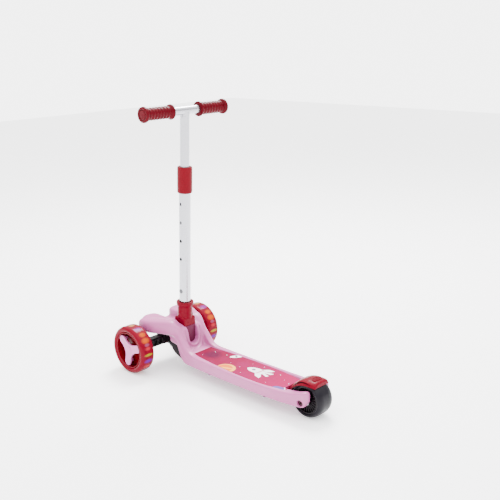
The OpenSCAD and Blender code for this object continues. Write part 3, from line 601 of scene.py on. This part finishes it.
# ------------------------------------------------------------------ collar
def collar_mesh():
    prof = [(14.1, 0), (16, 0), (17.4, 6), (18.3, 12), (18.4, 18), (18.1, 24), (18.1, 32), (18.1, 38), (18.5, 42), (19.6, 44.4), (21.2, 45.8), (21.4, 47.5), (21.4, 52.6), (20.6, 54.4), (16.6, 54.6), (15.4, 53.6), (15.4, 50.6), (14.1, 50.6)]
    parts = [lathe("c", prof, sp(0), SDIR, seg=96)]
    sk = prism("s", [(141.7, 109.9), (178.6, 123), (178.6, 131.5), (176, 134.4), (144.3, 134.4), (141.7, 131.5)], "y", -18.4, 18.4, bev=2.2, seg=3)
    parts.append(sk)
    # small ears beside the body
    for sg in (1, -1):
        parts.append(prism("e", [(150, 132), (166, 132), (166, 139), (163, 142), (153, 142), (150, 139)], "y", 15 * sg if sg > 0 else -19.6, 19.6 if sg > 0 else -15, bev=1.5))
    o = fuse(parts, "collar", 0.9, 4)
    carve(o, [lathe("t", [(0.001, -30), (14.1, -30), (14.1, 80), (0.001, 80)], sp(0), SDIR)])
    return o
piece(collar_mesh(), "deck", CRIMSON, ["stem_collar"], 40)
# the tongue in the neck's slot carries painted shade, the dark colour of the shadowed pocket rather than the collar's
# own crimson
tg = [(14.6 * math.cos(math.radians(a)), 84 + 14.6 * math.sin(math.radians(a))) for a in range(180, 361, 10)] + [(14.6, 113), (-14.6, 113)]
tongue = prism("slot_tongue", tg, "x", 139.4, 144.3, bev=0.6)
apply(tongue)
piece(tongue, "deck", SLOT_SHADE, ["stem_collar"], 40)

# ------------------------------------------------------------------ brake
def brake_mesh():
    st = [(-209.6, 66, 21, 25.6, 8.6), (-218, 73.2, 21.8, 26.2, 10), (-229, 82, 22.4, 26.6, 11.4), (-237, 85.6, 22.6, 26.7, 12), (-245, 88, 22.7, 26.75, 12), (-254, 88.8, 22.6, 26.75, 11.8),
          (-265, 88.8, 22.2, 26.5, 11.5), (-274, 88.4, 21.6, 26, 11.2), (-277.8, 86.9, 20.6, 25.2, 10.8), (-279.3, 84, 19.6, 24.4, 8.4)]
    def body(t_, ext):
        rs = []
        for i, (x, z, w0, w1, hh) in enumerate(st):
            if t_:
                if i == 0: x, z = x + 5, z - 4.5
                if i >= len(st) - 3: x = max(x, -277.0) + (i - len(st) + 3) * 0.01
            hlf = [(0, z - t_), (6, z - 0.05 - t_), (10, z - 0.4 - t_), (14 - t_ * 0.3, z - 1.0 - t_), (18 - t_ * 0.5, z - 2.0 - t_), (w0 - t_ * 0.8, z - 3.8 - t_), (w0 + 1.6 - t_ * 0.9, z - 5.4 - t_ * 0.7), (w1 - t_ * 0.95, z - hh - ext)]
            rs.append([(x, y, zz) for y, zz in hlf] + [(x, -y, zz) for y, zz in hlf[:0:-1]])
        return rings("b", rs)
    o = body(0, 0)
    lever = prism("l", [(-192.3, 43.5), (-192.3, 49.5), (-196.5, 52), (-203.5, 60), (-208, 64.9), (-212.5, 68.3), (-213, 66.2), (-209.6, 60), (-206.8, 54), (-205.6, 48.5), (-200.5, 44.5)], "y", -18, 18)
    carve(o, [body(2.2, 5)])
    o = fuse([o, lever, ytool(-196.5, 45.5, 5.2, -20, 20)], "brake", 0.62, 4)
    carve(o, [ytool(-196.5, 45.5, 2.06, -30, 30), ytool(-196.5, 45.5, 8, -6, 6), ytool(RX, RR, RR + 2.5, -17.5, 17.5), ytool(RX, RR, RR + 1.7, -21.5, 21.5), ytool(RX, RR, RR + 0.6, -24.7, 24.7)])
    return o
piece(brake_mesh(), "rear_brake", CRIMSON, ["brake_fender"], 40)

# ------------------------------------------------------------------ grips
def grip_prof():
    pr = [(10.06, 41.2), (16.2, 41), (17.3, 41.5), (17.65, 42.6), (17.6, 44.2), (16.8, 45.6), (15, 47.6), (13.6, 49.8), (12.9, 52)]
    y0, n, L = 53, 7, 61.6
    for i in range(n):
        for f in (0.0, 0.08, 0.2, 0.35, 0.5, 0.65, 0.8, 0.92):
            t_ = 0.5 - 0.5 * math.cos(2 * math.pi * f)
            pr.append((12.8 + 1.7 * t_ ** 0.7, y0 + (i + f) * L / n))
    pr += [(12.8, y0 + L), (13.6, 115.6), (15.6, 116.6), (17.4, 117.8), (18.1, 119.2), (18.28, 121), (18.1, 122.9), (17.4, 124.5), (15.6, 125.4), (13.6, 125.45), (12.4, 124.8), (11.7, 123.4), (10.06, 123.2)]
    return pr
for sd, sg in (("left", 1), ("right", -1)):
    g_ = lathe("grip_" + sd + "_v", [(r_, y * sg) for r_, y in grip_prof()], sp(525.1), (0, 1, 0), seg=96)
    piece(g_, "handlebar", GRIP, ["grip_" + sd], 50)

# ------------------------------------------------------------------ front tyres
def tyre_prof():
    pr = [(46.1, -7.2), (46.1, -15.5), (47.2, -17.4), (48.6, -18.8), (50.2, -19.5), (51.8, -19.7)]
    for i in range(1, 10):
        a = math.radians(-90 + 90 * i / 9)
        pr.append((51.8 + 8.2 * math.cos(a), -10.5 + 9.2 * math.sin(a)))
    pr += [(60, 0)]
    pr2 = [(r_, -y) for r_, y in pr[::-1][1:]]
    return pr + pr2 + [(50.2, 7.2), (50.2, -7.2)]
for sd, sg in (("left", 1), ("right", -1)):
    t_ = lathe("tyre_" + sd + "_v", tyre_prof(), (FX, TY * sg, FR), (0, 1, 0), seg=160)
    piece(t_, "wheel_" + sd, CLEAR, ["tyre_" + sd], 60)

# ------------------------------------------------------------------ rear tyre
def rear_prof():
    pr = [(32.1, -21.5), (33.0, -23.6), (34.2, -24.5)]
    for i in range(1, 12):
        a = math.radians(-90 + 90 * i / 12)
        pr.append((33.9 + 7.8 * math.cos(a) ** 0.9, -8 + 16.5 * math.sin(a)))
    pr += [(41.7, -8), (41.7, 0)]
    return pr + [(r_, -y) for r_, y in pr[::-1][1:]]
t_ = lathe("rear_tyre_v", rear_prof(), (RX, 0, RR), (0, 1, 0), seg=160)
piece(t_, "rear_wheel", TYRE, ["rear_tyre"], 60)

# ------------------------------------------------------------------ art printed on the mat
def inlay(name, pts, ink, lift=0.0, th=0.14):
    """A thin printed shape on the mat; the outline is in x and y, kept inside the mat."""
    pts = [(x, max(-mat_hw(x) + 0.6, min(mat_hw(x) - 0.6, y))) for x, y in pts]
    area_ = sum(pts[i][0] * pts[(i + 1) % len(pts)][1] - pts[(i + 1) % len(pts)][0] * pts[i][1] for i in range(len(pts)))
    if area_ < 0:
        pts = pts[::-1]
    n = len(pts)
    verts = [(x, y, mat_z(x) - 0.05) for x, y in pts] + [(x, y, mat_z(x) + th + lift) for x, y in pts]
    faces = [tuple(range(n))[::-1], tuple(range(n, 2 * n))] + [(i, (i + 1) % n, n + (i + 1) % n, n + i) for i in range(n)]
    o = obj_from(name, verts, faces, smooth=False)
    o.data.materials.append(INK[ink])
    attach(o, "deck")
    return o
def ell(cx, cy, a, b_, rot=0.0, n=40, a0=0, a1=360):
    r_ = math.radians(rot)
    full = abs(a1 - a0) >= 360
    out = []
    for i in range(n if full else n + 1):
        t_ = math.radians(a0 + (a1 - a0) * i / n)
        x, y = a * math.cos(t_), b_ * math.sin(t_)
        out.append((cx + x * math.cos(r_) - y * math.sin(r_), cy + x * math.sin(r_) + y * math.cos(r_)))
    return out
inlay("planet_rim", ell(-18, 34, 24, 22), "yellow")
inlay("planet", ell(-15, 35, 19, 18), "orange", 0.1)
inlay("planet_band", ell(-20, 33, 15, 3.2, 25), "yellow", 0.2)
inlay("capsule", ell(11, -30, 16, 6.5, 52), "white")
inlay("capsule_band", ell(11, -30, 3, 5.4, 52), "grey", 0.1)
# rocket, nose forward
inlay("rocket_body", [(-54, -2), (-58, -8), (-66, -13), (-78, -16), (-92, -16.5), (-104, -14), (-106, -6), (-102, 3), (-90, 7), (-76, 8), (-64, 6), (-57, 2)], "white")
inlay("rocket_window", ell(-72, -4, 5, 4.6), "grey", 0.1)
inlay("rocket_stripe", [(-88, 6.8), (-91, 6.6), (-94, -16), (-91, -16.4)], "pink", 0.1)
inlay("rocket_fin_a", [(-86, -14), (-100, -27), (-116, -29), (-112, -20), (-103, -12)], "white")
inlay("rocket_fin_b", [(-84, 5), (-96, 18), (-112, 22), (-110, 13), (-101, 3)], "white")
inlay("rocket_tail_a", [(-105, -12), (-124, -17), (-121, -9), (-105, -6)], "white")
inlay("rocket_tail_b", [(-104, 1), (-120, 6), (-122, -1), (-105, -5)], "white")
inlay("ship", ell(-180, 31, 15, 9, 12), "violet")
inlay("ship_arc", ell(-184, 31, 13, 13, 0, 24, 120, 250) + ell(-184, 31, 10.6, 10.6, 0, 24, 250, 120), "pale", 0.12)
for i, (x, y, q) in enumerate([(34.6, -21.2, 1.5), (-37, 7, 1.5), (-81, -31.5, 1.7), (-138, -24, 1.6), (-182.5, -1.6, 2.0), (-139, 28, 1.3), (69, -15, 1.4), (-48, -26, 1.1), (80, 18, 1.3), (-60, 28, 1.2), (-162, -10, 1.1), (-4, 4, 1.0)]):
    inlay("star%d" % i, [(x + (q if k % 2 == 0 else q * 0.45) * math.cos(math.radians(36 * k)), y + (q if k % 2 == 0 else q * 0.45) * math.sin(math.radians(36 * k))) for k in range(10)], "pale" if i % 3 else "white")

# ------------------------------------------------------------------ CAD nodes: materials and softened edges
def paint(node, m):
    o = N[node]
    if not o.material_slots:
        o.data.materials.append(m)
    for s in o.material_slots:
        s.link = "OBJECT"
        s.material = m

TABLE = {
    "deck_shell": PINK, "deck_mat": MATM, "belly_cover": BLACKP, "cover_screws": STEEL, "stem_collar": CRIMSON, "stem_post": STEEL,
    "lower_tube": ALU, "height_sleeve": SLEEVE, "guide_bush": BLACKP, "base_button": GREY, "base_spring": STEEL,
    "upright_tube": ALU, "crossbar": ALU, "stem_foot": BLACKP, "height_button": GREY, "height_clip": STEEL,
    "grip_left": GRIP, "grip_right": GRIP, "bar_plug_left": GRIP, "bar_plug_right": GRIP,
    "kingpin_bolt": STEEL, "kingpin_nut": STEEL, "steer_bushings": RUBBER, "front_truck": BLACKP, "truck_sleeve": BRASS,
    "front_axle": STEEL, "front_axle_nuts": STEEL, "rear_tyre": TYRE, "rear_hub": HUBBLACK, "rear_bearings": STEEL,
    "rear_axle": CAPDARK, "rear_axle_nut": CAPDARK, "rear_spacers": STEEL, "brake_fender": CRIMSON, "brake_pad": CRIMSON,
    "brake_shoe": STEEL, "brake_pin": STEEL, "brake_spring": STEEL,
}
for sd in ("left", "right"):
    TABLE.update({"tyre_" + sd: CLEAR, "rim_" + sd: RIM, "hub_cover_" + sd: PINKC, "wheel_lights_" + sd: LIGHT, "bearings_" + sd: STEEL})
for k, m in TABLE.items():
    paint(k, m)
for k, w in {"belly_cover": 1.2, "front_truck": 0.8, "hub_cover_left": 0.9, "hub_cover_right": 0.9, "brake_pad": 0.35, "front_axle_nuts": 0.4, "cover_screws": 0.3, "rear_axle_nut": 0.4}.items():
    bevel(N[k], w, 3, 30)

# ------------------------------------------------------------------ stage
def floor():
    me = bpy.data.meshes.new("floor")
    s = 6.0
    me.from_pydata([(-s, -s, 0), (s, -s, 0), (s, s, 0), (-s, s, 0)], [], [(0, 1, 2, 3)])
    o = bpy.data.objects.new("floor", me)
    bpy.context.scene.collection.objects.link(o)
    o.location.z = -0.0002
    m, nt, b = new_mat("floor_white")
    b.inputs["Emission Color"].default_value = (1, 1, 1, 1)
    b.inputs["Emission Strength"].default_value = 0.5
    b.inputs["Base Color"].default_value = (0.95, 0.95, 0.955, 1)
    b.inputs["Roughness"].default_value = 0.5
    b.inputs["Specular IOR Level"].default_value = 0.3
    me.materials.append(m)
floor()

world = bpy.data.worlds.new("studio")
bpy.context.scene.world = world
world.use_nodes = True
bg = world.node_tree.nodes["Background"]
wt = world.node_tree
tc = wt.nodes.new("ShaderNodeTexCoord")
sep = wt.nodes.new("ShaderNodeSeparateXYZ")
wt.links.new(tc.outputs["Generated"], sep.inputs[0])
# a wide softbox overhead, a darker wall, and a bright band at the horizon
top = remap(wt, sep.outputs["Z"], 0.33, 0.88, 0.0, 4.9)
band = remap(wt, sep.outputs["Z"], 0.05, 0.16, 4.2, 0.0)
total = math_node(wt, "ADD", math_node(wt, "ADD", top, band), 1.15)
bg.inputs["Color"].default_value = (1, 1, 1, 1)
wt.links.new(total, bg.inputs["Strength"])

def area(name, loc, target, size, power):
    ld = bpy.data.lights.new(name, "AREA")
    ld.shape = "RECTANGLE"
    ld.size, ld.size_y = size
    ld.energy = power
    o = bpy.data.objects.new(name, ld)
    bpy.context.scene.collection.objects.link(o)
    o.location = loc
    o.rotation_mode = "QUATERNION"
    o.rotation_quaternion = (Vector(target) - Vector(loc)).to_track_quat("-Z", "Y")
area("key", (0.75, -1.0, 2.1), (0, 0, 0.1), (0.9, 0.9), 135)
area("fill", (-0.6, 2.4, 1.2), (0, 0, 0.3), (1.0, 1.4), 8)
